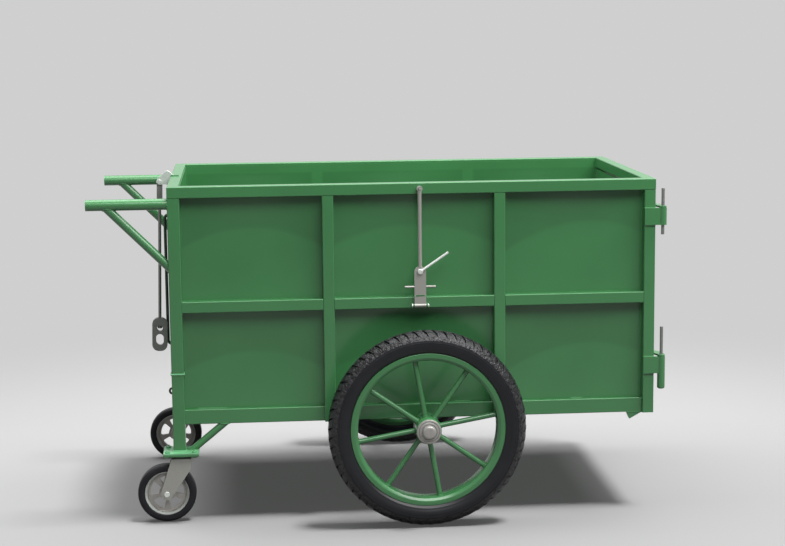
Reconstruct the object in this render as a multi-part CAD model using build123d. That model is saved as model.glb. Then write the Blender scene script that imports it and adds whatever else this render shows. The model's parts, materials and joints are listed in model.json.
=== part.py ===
"""Trash push cart: a tube and sheet box on two spoked wheels and two casters. Millimetres, +Z up."""

import os
from math import cos, radians, sin, sqrt

from build123d import *

# Box: outer length, width and height
box_length = 1500.0
box_width = 820.0
box_height = 737.0

# Frame tube, its wall and its outer corner radius
tube = 35.0
tube_wall = 2.0
tube_corner = 3.0
leg_width = 38.0
side_post_offset = 264.0
mid_rail_drop = 352.0
bottom_rail_height = 46.0
bottom_rail_setback = 15.0
bearer_offsets = (-490.0, -264.0, 264.0, 490.0)
splice_rise = 160.5

# Sheet lining
sheet = 1.5
sheet_lip = 8.0

# Handles and their braces
handle_radius = 17.0
handle_wall = 3.0
handle_reach = 244.0
handle_drop = 53.0
brace_radius = 13.5
brace_wall = 2.5
brace_out = 191.0
brace_down = 191.0

# Legs, foot plates and leg braces
foot_length = 109.0
foot_width = 100.0
foot_thickness = 5.0
foot_shift = 5.0
leg_brace_radius = 11.0
leg_brace_wall = 2.0
leg_brace_foot = 36.0
leg_brace_reach = 120.0

# Casters
caster_radius = 90.0
caster_width = 44.0
caster_trail = 47.0
caster_plate = 5.0
caster_height = 212.0
caster_bolt_radius = 4.0
caster_bolt_inset = 13.0
bolt_head_radius = 7.0
bolt_head = 5.0
bolt_stand = 8.0
race_radius = 30.0
race_height = 10.0
kingpin_radius = 8.0
kingpin_head_radius = 12.0
kingpin_head = 5.0
fork_sheet = 4.0
fork_bend = 3.5
fork_side_gap = 3.0
fork_top = 61.0
fork_shoulder = 33.0
fork_taper = 2.0
fork_end_radius = 19.0
core_radius = 68.0
core_rim = 8.0
core_rim_width = 36.0
core_web = 10.0
core_hub_radius = 18.0
core_draft = 2.0
core_windows = 5
window_inner = 25.0
window_sweep = 50.0
window_corner = 5.0
caster_axle_radius = 6.0
caster_axle_head_radius = 9.0
caster_axle_head = 5.0
tyre_shoulder = 12.0

# Wheels: tyre of 604 by 80 on a 17 inch rim, with its middle plane outside the posts
bead_radius = 218.0
tyre_height = 84.0
wheel_width = 80.0
wheel_shift = 24.0
wheel_gap = 120.0
tyre_wall = 9.0
tread_shoulder = 34.0
tread_depth = 4.0
tread_width = 78.0
rim_flange = 18.0
rim_width = 58.0
rim_sheet = 3.0
rim_well = 2.0
rim_well_width = 22.0
spoke_count = 8
spoke_radius = 8.0
spoke_turn = 10.0
hub_radius = 39.0
hub_in = 45.0
hub_out = 50.0
hub_cap_radius = 37.5
hub_cap_disc = 7.0
hub_dome_radius = 20.5
hub_dome = 14.0
hub_dome_wall = 3.5
bearing_radius = 26.0
bearing_width = 15.0
bearing_land = 2.0
axle_radius = 12.5
collar_radius = 17.0
axle_end_radius = 9.0
axle_end = 13.0
axle_nut_flats = 27.0
axle_nut = 9.0
bracket_top = 130.0
bracket_boss = 26.0

# Gate, its hinges and its bolt
gate_tube = 30.0
gate_inset = 2.0
gate_side_gap = 4.0
gate_floor_gap = 5.0
gate_top_gap = 5.0
hinge_drops = (91.0, 558.0)
hinge_height = 53.0
hinge_strap = 6.0
hinge_offset = 23.0
hinge_setback = 2.0
barrel_radius = 12.0
pin_radius = 5.0
pin_above = (61.0, 94.0)
pin_below = 30.0
socket_depth = 50.0
socket_floor = 6.0
eye_thickness = 6.0
eye_radius = 11.0
eye_arm = 60.0
gate_bolt_radius = 7.0
gate_bolt_stand = 12.0
gate_bolt_length = 162.0
gate_bolt_travel = 40.0
gate_bolt_past_keeper = 5.0
guide_spread = 95.0
guide_from_edge = 26.0
guide_thickness = 12.0
guide_width = 26.0
knob_radius = 4.5
knob_height = 34.0
knob_from_edge = 86.0
guide_wall = 4.0
keeper_margin = 8.0
keeper_thickness = 14.0
keeper_clearance = 4.0
keeper_wall = 5.0

# Tipping lugs under the gate end of the bottom rails
lug_length = 50.0
lug_drop = 22.0
lug_toe = 10.0
lug_from_end = 33.0

# Side latch on the right side
latch_shift = 16.0
stud_radius = 4.0
stud_length = 21.0
stud_collar_radius = 7.5
stud_collar = 6.0
latch_eye_radius = 9.0
latch_eye_hole = 5.3
latch_eye_thickness = 8.0
latch_rod_radius = 6.2
latch_line = 11.0
latch_plate_width = 36.0
latch_plate_thickness = 8.0
latch_plate_top = 257.0
latch_plate_corner = 14.0
latch_pivot_drop = 271.0
latch_hinge_drop = 377.0
latch_hinge_out = 12.0
knuckle_radius = 6.5
latch_pin_radius = 3.0
latch_pin_head_radius = 6.5
latch_pin_head = 4.0
latch_base_plate = 5.0
latch_ear = 4.0
latch_slot_drop = 347.0
latch_slot_width = 27.0
latch_slot_height = 5.0
cross_bar_drop = 319.0
cross_bar_radius = 3.8
cross_bar_length = 95.0
lever_head_radius = 8.5
lever_head = 9.5
lever_head_round = 3.0
lever_radius = 4.2
lever_length = 104.0
lever_angle = 34.0

# Handle-end hanging rod, its bracket, its link and its keeper
end_pivot_out = 36.0
end_pivot_drop = 18.0
end_strap = 3.0
end_strap_width = 30.0
end_strap_reach = 27.0
end_ear = 5.0
end_ear_radius = 10.0
end_crest_out = 11.0
end_crest_rise = 6.0
end_heel_drop = 26.0
end_toe = 9.0
end_pin_radius = 4.0
end_pin_head_radius = 6.5
end_pin_head = 3.0
end_eye_width = 18.0
end_eye_thickness = 12.0
end_eye_length = 58.0
end_rod_radius = 5.0
end_rod_drop = 462.0
end_rod_side = -35.0
end_rod_lean = 1.5
link_width = 49.0
link_thickness = 18.0
link_corner = 21.0
link_top_hole = 9.5
link_neck = 25.0
link_pitch = 37.0
link_slot_width = 25.0
link_slot_length = 37.0
link_rim = 19.0
rod_head_radius = 7.2
rod_head = 6.0
keeper_bar_radius = 5.0
keeper_bar_out = 24.0
keeper_bar_top = 130.0
keeper_bar_bottom = 555.0
keeper_bar_bend = 12.0
eye_bolt_ring = 9.0
eye_bolt_wire = 3.5
eye_bolt_shank = 6.0

# Clearances
running_fit = 0.05
seat_gap = 0.3
side_clearance = 0.5

# Derived heights and planes: the bottom rails sit over the axle, and the axle stands on the tyres
wheel_radius = bead_radius + tyre_height
deck_height = wheel_radius
top_z = deck_height + box_height
half_length = box_length / 2
half_width = box_width / 2
lining_y = half_width - tube
tube_y = half_width - tube / 2
hinge_reach = hinge_offset + barrel_radius
box_x = (handle_reach - hinge_reach) / 2
handle_x = box_x - half_length
gate_x = box_x + half_length
mid_rail_z = top_z - mid_rail_drop - tube / 2
floor_z = deck_height + tube
lining_x = handle_x + tube
splice_z = deck_height + splice_rise
handle_z = top_z - handle_drop
wheel_x = box_x + wheel_shift
wheel_y = half_width + wheel_gap
swivel_x = handle_x + leg_width / 2 + foot_shift
foot_z = caster_height + caster_plate
leg_z = foot_z + foot_thickness
SIDES = {"right": -1, "left": 1}


def slab(x_from, x_to, y_from, y_to, z_from, z_to):
    """A plain block between two corners."""
    block = Box(abs(x_to - x_from), abs(y_to - y_from), abs(z_to - z_from))
    return Pos((x_from + x_to) / 2, (y_from + y_to) / 2, (z_from + z_to) / 2) * block


def tube_section(wide, high):
    """The rounded hollow section of a frame tube."""
    outer = RectangleRounded(wide, high, tube_corner)
    return outer - Rectangle(wide - 2 * tube_wall, high - 2 * tube_wall)


def run_x(x_from, x_to, y, z, wide=tube, high=tube):
    """A tube along X, wide in Y and high in Z."""
    plane = Plane((x_from, y, z), x_dir=(0, 1, 0), z_dir=(1, 0, 0))
    return extrude(plane * tube_section(wide, high), x_to - x_from)


def run_y(y_from, y_to, x, z, wide=tube, high=tube):
    """A tube along Y, wide in X and high in Z."""
    plane = Plane((x, y_from, z), x_dir=(1, 0, 0), z_dir=(0, 1, 0))
    return extrude(plane * tube_section(wide, high), y_to - y_from)


def run_z(z_from, z_to, x, y, wide=tube, high=tube):
    """A tube along Z, wide in X and high in Y."""
    return extrude(Plane((x, y, z_from)) * tube_section(wide, high), z_to - z_from)


def rod(start, end, radius):
    """A round bar between two points."""
    start, end = Vector(start), Vector(end)
    plane = Plane(start, z_dir=end - start)
    return extrude(plane * Circle(radius), (end - start).length)


def rod_y(radius, y_from, y_to, x=0.0, z=0.0):
    """A round bar along Y."""
    return rod((x, min(y_from, y_to), z), (x, max(y_from, y_to), z), radius)


def plate_y(outline, y_from, y_to):
    """An outline drawn in X and Z, given its thickness in Y."""
    plane = Plane((0, max(y_from, y_to), 0), x_dir=(1, 0, 0), z_dir=(0, -1, 0))
    return extrude(plane * outline, abs(y_to - y_from))


def turned_y(points, x, y, z, side):
    """A profile of (radius, distance outwards) turned about an axle along Y."""
    plane = Plane((x, y, z), x_dir=(1, 0, 0), z_dir=(0, 0, side))
    profile = make_face(Polyline(*points, close=True))
    return revolve(plane * profile, Axis((x, y, z), (0, 1, 0)))


def wedge(plane, corners, depth):
    """The triangle that a mitre takes off the end of a tube."""
    return extrude(plane * make_face(Polyline(*corners, close=True)), depth)


def hexagon(flats):
    """A hexagon across its flats."""
    return RegularPolygon(flats / 2, 6, major_radius=False)


def frame_nodes():
    """The tubes of the box, each butted against its neighbours."""
    handle_post_x = handle_x + leg_width / 2
    gate_post_x = gate_x - tube / 2
    side_post_x = [box_x - side_post_offset, box_x + side_post_offset]
    bay_starts = [handle_x + leg_width] + [x + tube / 2 for x in side_post_x]
    bay_ends = [x - tube / 2 for x in side_post_x] + [gate_x - tube]
    bays = list(zip(bay_starts, bay_ends))
    bottom_depth = tube - bottom_rail_setback
    bottom_y = lining_y + bottom_depth / 2
    bottom_z = deck_height + bottom_rail_height / 2
    end_x = handle_x + tube / 2
    rail_z = top_z - tube / 2

    post_top = top_z - tube
    level = Plane((0, 0, post_top))
    ends = ((lining_x, handle_x), (gate_x - tube, gate_x))
    top_rails = []
    for side in SIDES.values():
        rail = run_x(handle_x, gate_x, side * tube_y, rail_z)
        for inner, outer in ends:
            mitre = ((inner, side * lining_y), (outer, side * half_width), (outer, side * lining_y))
            rail -= wedge(level, mitre, tube)
        top_rails.append(rail)
    for inner, outer in ends:
        rail = run_y(-half_width, half_width, (inner + outer) / 2, rail_z)
        for side in SIDES.values():
            mitre = ((inner, side * lining_y), (outer, side * half_width), (inner, side * half_width))
            rail -= wedge(level, mitre, tube)
        top_rails.append(rail)
    end_frame = [run_y(-lining_y, lining_y, end_x, bottom_z, tube, bottom_rail_height)]
    end_frame += [run_z(deck_height + bottom_rail_height, post_top, end_x, 0.0)]
    end_frame += [run_y(-lining_y, -tube / 2, end_x, mid_rail_z)]
    end_frame += [run_y(tube / 2, lining_y, end_x, mid_rail_z)]
    bearer_x = [box_x + offset for offset in bearer_offsets] + [gate_post_x]
    nodes = {"top_rails": top_rails, "handle_end_frame": end_frame}
    nodes["floor_bearers"] = [run_y(-lining_y, lining_y, x, deck_height + tube / 2) for x in bearer_x]
    nodes["handle_posts"] = []
    nodes["gate_posts"] = []
    nodes["side_posts"] = []
    nodes["mid_rails"] = []
    nodes["bottom_rails"] = []
    for side in SIDES.values():
        y = side * tube_y
        nodes["handle_posts"] += [run_z(splice_z, post_top, handle_post_x, y, leg_width)]
        nodes["gate_posts"] += [run_z(deck_height, post_top, gate_post_x, y)]
        nodes["side_posts"] += [run_z(deck_height, post_top, x, y) for x in side_post_x]
        nodes["mid_rails"] += [run_x(a, b, y, mid_rail_z) for a, b in bays]
        size = (bottom_depth, bottom_rail_height)
        notch = rod_y(axle_radius + running_fit, side * lining_y, side * half_width, wheel_x, wheel_radius)
        nodes["bottom_rails"] += [run_x(a, b, side * bottom_y, bottom_z, *size) - notch for a, b in bays]
    return nodes


def lining_nodes():
    """Sheets on the inner faces of the tubes."""
    inside_x = lining_x + sheet
    lip_z = top_z - sheet_lip
    floor_top = floor_z + sheet
    nodes = {"floor_sheet": [slab(inside_x, gate_x, -lining_y, lining_y, floor_z, floor_top)]}
    nodes["handle_end_sheet"] = [slab(lining_x, inside_x, -lining_y, lining_y, deck_height, lip_z)]
    for name, side in SIDES.items():
        faces = (side * (lining_y - sheet), side * lining_y)
        panel = slab(inside_x, gate_x - tube, *faces, floor_top, lip_z)
        nodes["side_sheet_" + name] = [panel]
    return nodes


def handle_nodes():
    """Straight handle pipes on the posts, and the braces mitred to them."""
    handles, braces = [], []
    tip_x = handle_x - handle_reach
    for side in SIDES.values():
        y = side * tube_y
        solid = rod((tip_x, y, handle_z), (handle_x, y, handle_z), handle_radius)
        bore = rod((tip_x, y, handle_z), (handle_x, y, handle_z), handle_radius - handle_wall)
        handles.append(solid - bore)
        slope = Vector(-brace_out, 0, brace_down).normalized()
        foot = Vector(handle_x, y, handle_z - brace_down)
        low, high = foot - slope * 2 * brace_radius, foot + slope * (brace_out + brace_down)
        pipe = rod(low, high, brace_radius) - rod(low, high, brace_radius - brace_wall)
        room = slab(tip_x, handle_x, y - tube, y + tube, splice_z, handle_z)
        notch = rod((tip_x, y, handle_z), (handle_x, y, handle_z), handle_radius + running_fit)
        braces.append((pipe & room) - notch)
    return {"handles": handles, "handle_braces": braces}


def leg_nodes():
    """Legs under the handle-end posts, their foot plates and braces."""
    legs, feet, braces = [], [], []
    brace_y = lining_y + (tube - bottom_rail_setback) / 2
    leg_face_x = handle_x + leg_width
    for side in SIDES.values():
        y = side * tube_y
        legs.append(run_z(leg_z, splice_z, handle_x + leg_width / 2, y, leg_width))
        feet.append(foot_plate(y, foot_z, foot_thickness))
        rise = deck_height - leg_z
        low = Vector(swivel_x + leg_brace_foot, side * brace_y, leg_z)
        high = Vector(leg_face_x + leg_brace_reach, side * brace_y, deck_height)
        slope = (high - low).normalized()
        ends = (low - slope * rise, high + slope * rise)
        pipe = rod(*ends, leg_brace_radius) - rod(*ends, leg_brace_radius - leg_brace_wall)
        room = slab(leg_face_x, gate_x, side * lining_y, side * half_width, leg_z, deck_height)
        braces.append(pipe & room)
    return {"legs": legs, "foot_plates": feet, "leg_braces": braces}


def foot_plate(y, z, thickness):
    """A rounded plate with four bolt holes, centred on the caster's swivel axis."""
    outline = RectangleRounded(foot_length, foot_width, tube_corner)
    spread = (foot_length - 2 * caster_bolt_inset, foot_width - 2 * caster_bolt_inset)
    holes = GridLocations(*spread, 2, 2) * Circle(caster_bolt_radius + running_fit)
    return extrude(Plane((swivel_x, y, z)) * (outline - holes), thickness)


def caster_fixed_nodes():
    """Caster top plates, their bolts, and the kingpins with their races."""
    plates, bolts, kingpins = [], [], []
    race_z = caster_height - race_height
    crown_z = race_z - seat_gap - fork_sheet
    spread = (foot_length - 2 * caster_bolt_inset, foot_width - 2 * caster_bolt_inset)
    for side in SIDES.values():
        y = side * tube_y
        plates.append(foot_plate(y, caster_height, caster_plate))
        for place in GridLocations(*spread, 2, 2):
            base = Plane((swivel_x, y, caster_height)) * place
            shank = extrude(Plane(base.position) * Circle(caster_bolt_radius), leg_z - caster_height)
            head = extrude(Plane(base.position) * hexagon(2 * bolt_head_radius), -bolt_head)
            top = Plane(base.position + Vector(0, 0, leg_z - caster_height))
            nut = extrude(top * hexagon(2 * bolt_head_radius), bolt_head)
            thread = extrude(top * Circle(caster_bolt_radius), bolt_stand)
            bolts.append(shank + head + nut + thread)
        race = extrude(Plane((swivel_x, y, race_z)) * Circle(race_radius), race_height)
        pin_end = crown_z - seat_gap
        pin = rod((swivel_x, y, pin_end), (swivel_x, y, race_z), kingpin_radius)
        head_end = pin_end - kingpin_head
        head = rod((swivel_x, y, head_end), (swivel_x, y, pin_end), kingpin_head_radius)
        kingpins.append(race + pin + head)
    return {"caster_plates": plates, "caster_bolts": bolts, "caster_kingpins": kingpins}


def caster_nodes(name, side):
    """One caster's fork, axle bolt, cast core and tyre."""
    y = side * tube_y
    axle = (swivel_x - caster_trail, caster_radius)
    crown_top = caster_height - race_height - seat_gap
    inner = caster_width / 2 + fork_side_gap
    outer = inner + fork_sheet
    front_x = swivel_x + fork_top / 2
    back_x = swivel_x - fork_top / 2
    top_line = Line((back_x, crown_top), (front_x, crown_top))
    shoulder = Line((front_x, crown_top), (front_x - fork_taper, crown_top - fork_shoulder))
    end = Pos(*axle) * Circle(fork_end_radius)
    hole = Pos(*axle) * Circle(caster_axle_radius + running_fit)
    leg = make_hull(end.edges() + [top_line, shoulder]) - hole
    fork = slab(back_x, front_x, y - outer, y + outer, crown_top - fork_sheet, crown_top)
    fork += plate_y(leg, y - outer, y - inner) + plate_y(leg, y + inner, y + outer)
    bends = fork.edges().filter_by(Axis.X).group_by(Axis.Z)[-1]
    fork = fillet(bends, fork_bend)
    fork -= rod((swivel_x, y, 0), (swivel_x, y, top_z), kingpin_radius + running_fit)

    bolt = rod_y(caster_axle_radius, y - outer, y + outer, *axle)
    for out in (-1, 1):
        face = y + out * outer
        bolt += rod_y(caster_axle_head_radius, face, face + out * caster_axle_head, *axle)

    half_rim, half_hub = core_rim_width / 2, inner - side_clearance
    web = core_web / 2
    rim_inner = core_radius - core_rim
    bore = caster_axle_radius + running_fit
    half = [(core_radius, half_rim), (rim_inner, half_rim), (rim_inner - core_draft, web)]
    half += [(core_hub_radius + core_draft, web), (core_hub_radius, half_hub), (bore, half_hub)]
    mirrored = [(r, -w) for r, w in reversed(half)]
    core = turned_y(half + mirrored, axle[0], y, axle[1], side)
    ring = Circle(rim_inner - core_rim) - Circle(window_inner)
    half_sweep = radians(window_sweep / 2)
    across, up = caster_radius * cos(half_sweep), caster_radius * sin(half_sweep)
    window = ring & make_face(Polyline((0, 0), (across, -up), (across, up), close=True))
    window = fillet(window.vertices(), window_corner)
    for turn in range(core_windows):
        spot = Pos(*axle) * Rot(0, 0, 90 + turn * 360 / core_windows)
        core -= plate_y(spot * window, y - web, y + web)

    half_tyre = caster_width / 2
    root, edge = (core_radius, half_rim), (caster_radius - tyre_shoulder, half_tyre)
    tread = (caster_radius, half_tyre - tyre_shoulder)
    bulge = tyre_shoulder * (1 - sin(radians(45)))
    outline = [Line(tread, (tread[0], -tread[1])), Line(root, (root[0], -root[1]))]
    for out in (1, -1):
        middle = (caster_radius - bulge, out * (half_tyre - bulge))
        outline += [Line((root[0], out * root[1]), (edge[0], out * edge[1]))]
        outline += [ThreePointArc((edge[0], out * edge[1]), middle, (tread[0], out * tread[1]))]
    plane = Plane((axle[0], y, axle[1]), x_dir=(1, 0, 0), z_dir=(0, 0, side))
    tyre = revolve(plane * make_face(outline), Axis((axle[0], y, axle[1]), (0, 1, 0)))
    names = ("caster_fork_", "caster_axle_", "caster_core_", "caster_tyre_")
    return {key + name: [solid] for key, solid in zip(names, (fork, bolt, core, tyre))}


def wheel_nodes(name, side):
    """One spoked wheel: tyre, rim, spokes, hub, cap and bearings."""
    y = side * wheel_y
    place = (wheel_x, y, wheel_radius, side)
    flange_radius = bead_radius + rim_flange
    half_rim = rim_width / 2
    well_radius = bead_radius - rim_well
    half_well = rim_well_width / 2
    lip = rim_sheet
    outer = [(flange_radius, half_rim), (flange_radius, half_rim - lip)]
    outer += [(bead_radius, half_rim - 2 * lip), (bead_radius, half_well + 2 * lip)]
    outer += [(well_radius, half_well)]
    inner = [(well_radius - lip, half_well + lip), (bead_radius - lip, half_well + 3 * lip)]
    inner += [(bead_radius - lip, half_rim - lip), (flange_radius - lip, half_rim)]
    profile = outer + [(r, -w) for r, w in reversed(outer)]
    profile += [(r, -w) for r, w in reversed(inner)] + inner
    rim = turned_y(profile, *place)

    bead_half = half_rim - 2 * lip - seat_gap
    half_tyre = wheel_width / 2
    tread_half = tread_width / 2
    shoulder_radius = wheel_radius - tread_shoulder
    bulge_radius = shoulder_radius - (shoulder_radius - flange_radius) / 3
    seat = bead_radius + seat_gap
    plane = Plane((wheel_x, y, wheel_radius), x_dir=(1, 0, 0), z_dir=(0, 0, side))
    crown = ThreePointArc((shoulder_radius, tread_half), (wheel_radius, 0), (shoulder_radius, -tread_half))
    walls = [crown]
    for out in (1, -1):
        flare = (flange_radius + seat_gap, out * half_rim)
        tuck = (flange_radius + seat_gap, out * (half_rim - lip - seat_gap))
        belly = (bulge_radius, out * half_tyre)
        walls += [ThreePointArc((shoulder_radius, out * tread_half), belly, flare)]
        walls += [Polyline(flare, tuck, (seat, out * bead_half))]
    walls += [Line((seat, bead_half), (seat, -bead_half))]
    mouth, cave = bead_half - tyre_wall, tread_half - tyre_wall
    crown_inside = (wheel_radius - tyre_wall - tread_depth, 0)
    hollow = [Line((seat, mouth), (seat, -mouth))]
    hollow += [ThreePointArc((shoulder_radius, cave), crown_inside, (shoulder_radius, -cave))]
    for out in (1, -1):
        belly = (bulge_radius, out * (half_tyre - tyre_wall))
        neck = (flange_radius, out * (half_rim - lip - tyre_wall))
        hollow += [ThreePointArc((shoulder_radius, out * cave), belly, neck)]
        hollow += [Line(neck, (seat, out * mouth))]
    section = make_face(walls) - make_face(hollow)
    tyre = revolve(plane * section, Axis((wheel_x, y, wheel_radius), (0, 1, 0)))

    spokes = []
    reach = well_radius - lip
    barrel = rod_y(reach, y - half_well, y + half_well, wheel_x, wheel_radius)
    hub_core = rod_y(hub_radius, y - half_rim, y + half_rim, wheel_x, wheel_radius)
    for turn in range(spoke_count):
        angle = radians(spoke_turn + turn * 360 / spoke_count)
        tip = (wheel_x + wheel_radius * cos(angle), y, wheel_radius * (1 + sin(angle)))
        bar = rod((wheel_x, y, wheel_radius), tip, spoke_radius)
        spokes.append((bar & barrel) - hub_core)

    bore = bearing_radius + running_fit
    land = bearing_radius - bearing_land
    points = [(hub_radius, -hub_in), (hub_radius, hub_out)]
    points += [(bore, hub_out), (bore, hub_out - bearing_width)]
    points += [(land, hub_out - bearing_width), (land, bearing_width - hub_in)]
    points += [(bore, bearing_width - hub_in), (bore, -hub_in)]
    hub = turned_y(points, *place)

    cap_out = hub_out + hub_cap_disc
    dome_out = cap_out + hub_dome
    hollow = hub_dome_radius - hub_dome_wall
    chamfer = hub_dome_wall
    points = [(hub_cap_radius, hub_out), (hub_cap_radius, cap_out - chamfer)]
    points += [(hub_cap_radius - chamfer, cap_out)]
    points += [(hub_dome_radius, cap_out), (hub_dome_radius, dome_out - chamfer)]
    points += [(hub_dome_radius - chamfer, dome_out), (0, dome_out), (0, dome_out - chamfer)]
    points += [(hollow, dome_out - chamfer), (hollow, hub_out)]
    cap = turned_y(points, *place)

    bearings = []
    for start in (-hub_in, hub_out - bearing_width):
        faces = [(axle_radius + running_fit, start), (bearing_radius, start)]
        faces += [(r, w + bearing_width) for r, w in reversed(faces)]
        bearings.append(turned_y(faces, *place))
    names = ("wheel_tyre_", "wheel_rim_", "wheel_hub_", "hub_cap_")
    nodes = {key + name: [solid] for key, solid in zip(names, (tyre, rim, hub, cap))}
    nodes["wheel_spokes_" + name] = spokes
    nodes["wheel_bearings_" + name] = bearings
    return nodes


def axle_nodes():
    """The through axle with its collars, the end nuts and the saddles that hold it under the rails."""
    rail_face = half_width - bottom_rail_setback
    shoulder = wheel_y + hub_out
    axle = rod_y(axle_radius, -shoulder, shoulder, wheel_x, wheel_radius)
    nuts, brackets = [], []
    hub_plate = Pos(wheel_x, wheel_radius) * Circle(bracket_boss)
    half_top = bracket_top / 2
    gusset = Polyline(
        (wheel_x - half_top, deck_height),
        (wheel_x - bracket_boss, wheel_radius - bracket_boss / 2),
        (wheel_x + bracket_boss, wheel_radius - bracket_boss / 2),
        (wheel_x + half_top, deck_height),
        close=True,
    )
    below = Pos(wheel_x, deck_height - box_width / 2) * Rectangle(box_width, box_width)
    outline = (make_face(gusset) + hub_plate) & below
    outline -= Pos(wheel_x, wheel_radius) * Circle(axle_radius + running_fit)
    for side in SIDES.values():
        inner, end = side * (wheel_y - hub_in), side * (shoulder + axle_end)
        face = side * rail_face
        axle += rod_y(collar_radius, face + side * seat_gap, inner - side * seat_gap, wheel_x, wheel_radius)
        axle += rod_y(axle_end_radius, side * shoulder, end, wheel_x, wheel_radius)
        bore = Circle(axle_end_radius + running_fit)
        nut = Pos(wheel_x, wheel_radius) * (hexagon(axle_nut_flats) - bore)
        start = side * (shoulder + seat_gap)
        nuts.append(plate_y(nut, start, start + side * axle_nut))
        brackets.append(plate_y(outline, side * lining_y, face))
    return {"axle": [axle], "axle_nuts": nuts, "axle_brackets": brackets}


def hinge_nodes():
    """Straps with barrels on the gate post, and the long pins that stand in them."""
    pin_x, pin_y = gate_x + hinge_offset, -(half_width - hinge_setback)
    straps, pins = [], []
    for drop, above in zip(hinge_drops, pin_above):
        high = top_z - drop
        low = high - hinge_height
        closed = drop == hinge_drops[-1]
        strap = slab(gate_x - tube, pin_x, -half_width - hinge_strap, -half_width, low, high)
        strap += rod((pin_x, pin_y, low), (pin_x, pin_y, high), barrel_radius)
        pin_low = low - pin_below
        if closed:
            socket_low = low - socket_depth
            socket = rod((pin_x, pin_y, socket_low), (pin_x, pin_y, low), barrel_radius)
            strap += fillet(socket.edges().sort_by(Axis.Z)[:1], barrel_radius / 2)
            pin_low = socket_low + socket_floor
        bore_top = high + barrel_radius
        strap -= rod((pin_x, pin_y, pin_low), (pin_x, pin_y, bore_top), pin_radius + running_fit)
        straps.append(strap)
        pins.append(rod((pin_x, pin_y, pin_low), (pin_x, pin_y, high + above), pin_radius))
    return {"hinge_straps": straps, "hinge_pins": pins}


def gate_nodes():
    """The gate: tube frame, sheet, hinge eyes, and a slide bolt with its guides and keeper."""
    outer_x = gate_x - gate_inset
    middle_x = outer_x - gate_tube / 2
    inner_x = outer_x - gate_tube
    edge_y = lining_y - gate_side_gap
    low = floor_z + sheet + gate_floor_gap
    high = top_z - tube - gate_top_gap
    stile_y = edge_y - gate_tube / 2
    rail_end = edge_y - gate_tube
    size = (gate_tube, gate_tube)
    upright = Plane((inner_x, 0, 0), x_dir=(0, 1, 0), z_dir=(1, 0, 0))
    ends = ((low + gate_tube, low), (high - gate_tube, high))
    frame = [run_y(-rail_end, rail_end, middle_x, mid_rail_z, *size)]
    for side in SIDES.values():
        stile = run_z(low, high, middle_x, side * stile_y, *size)
        for inner, outer in ends:
            mitre = ((side * rail_end, inner), (side * edge_y, outer), (side * rail_end, outer))
            stile -= wedge(upright, mitre, gate_tube)
        frame.append(stile)
    for inner, outer in ends:
        rail = run_y(-edge_y, edge_y, middle_x, (inner + outer) / 2, *size)
        for side in SIDES.values():
            mitre = ((side * rail_end, inner), (side * edge_y, outer), (side * edge_y, inner))
            rail -= wedge(upright, mitre, gate_tube)
        frame.append(rail)
    panel = slab(inner_x - sheet, inner_x, -edge_y, edge_y, low, high)

    pin_x, pin_y = gate_x + hinge_offset, -(half_width - hinge_setback)
    eyes = []
    for drop in hinge_drops:
        seat = top_z - drop + seat_gap
        arm_end = -edge_y + eye_arm
        ear = Pos(pin_x, pin_y) * Circle(eye_radius)
        clear_x = gate_x + side_clearance
        arm = make_face(Polyline(
            (pin_x + eye_radius, pin_y),
            (pin_x + eye_radius, -edge_y),
            (outer_x, arm_end),
            (outer_x, -edge_y + side_clearance),
            (clear_x, -edge_y + side_clearance),
            (pin_x - eye_radius, pin_y),
            close=True,
        ))
        hole = Pos(pin_x, pin_y) * Circle(pin_radius + running_fit)
        eyes.append(extrude(Plane((0, 0, seat)) * (ear + arm - hole), eye_thickness))

    bolt_x = outer_x + gate_bolt_stand
    thrown = lining_y + keeper_margin + keeper_thickness + gate_bolt_past_keeper
    tip = thrown - gate_bolt_travel
    bolt = rod_y(gate_bolt_radius, tip - gate_bolt_length, tip, bolt_x, mid_rail_z)
    knob_y = edge_y - knob_from_edge
    bolt += rod((bolt_x, knob_y, mid_rail_z), (bolt_x, knob_y, mid_rail_z + knob_height), knob_radius)
    guides = []
    bore = gate_bolt_radius + running_fit
    block_out = bolt_x + gate_bolt_radius + guide_wall
    half_block = guide_width / 2
    for back in (guide_from_edge, guide_from_edge + guide_spread):
        faces = (edge_y - back - guide_thickness / 2, edge_y - back + guide_thickness / 2)
        block = slab(outer_x, block_out, *faces, mid_rail_z - half_block, mid_rail_z + half_block)
        guides.append(block - rod_y(bore, *faces, bolt_x, mid_rail_z))
    faces = (lining_y + keeper_margin, lining_y + keeper_margin + keeper_thickness)
    throat = gate_bolt_radius + keeper_clearance
    half_keeper = throat + keeper_wall
    loop = Pos(bolt_x, mid_rail_z) * Circle(half_keeper)
    loop += Pos((gate_x + bolt_x) / 2, mid_rail_z) * Rectangle(bolt_x - gate_x, 2 * half_keeper)
    beyond_post = Pos(gate_x + box_width / 2, mid_rail_z) * Rectangle(box_width, box_width)
    loop &= beyond_post
    loop -= Pos(bolt_x, mid_rail_z) * Circle(throat)
    loop -= Pos((gate_x + bolt_x) / 2, mid_rail_z) * Rectangle(bolt_x - gate_x, 2 * throat)
    keeper = plate_y(loop, *faces)
    nodes = {"gate_frame": frame, "gate_sheet": [panel], "gate_eyes": eyes}
    nodes.update({"gate_bolt": [bolt], "bolt_guides": guides, "bolt_keeper": [keeper]})
    return nodes


def lug_nodes():
    """Wedge lugs under the gate end of both bottom rails, for the tipped cart to stand on."""
    start_x = gate_x - lug_from_end - lug_length
    outline = make_face(Polyline(
        (start_x, deck_height),
        (start_x + lug_toe, deck_height - lug_drop),
        (start_x + lug_length, deck_height),
        close=True,
    ))
    depth = tube - bottom_rail_setback
    lugs = [plate_y(outline, s * lining_y, s * (lining_y + depth)) for s in SIDES.values()]
    return {"tipping_lugs": lugs}


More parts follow.
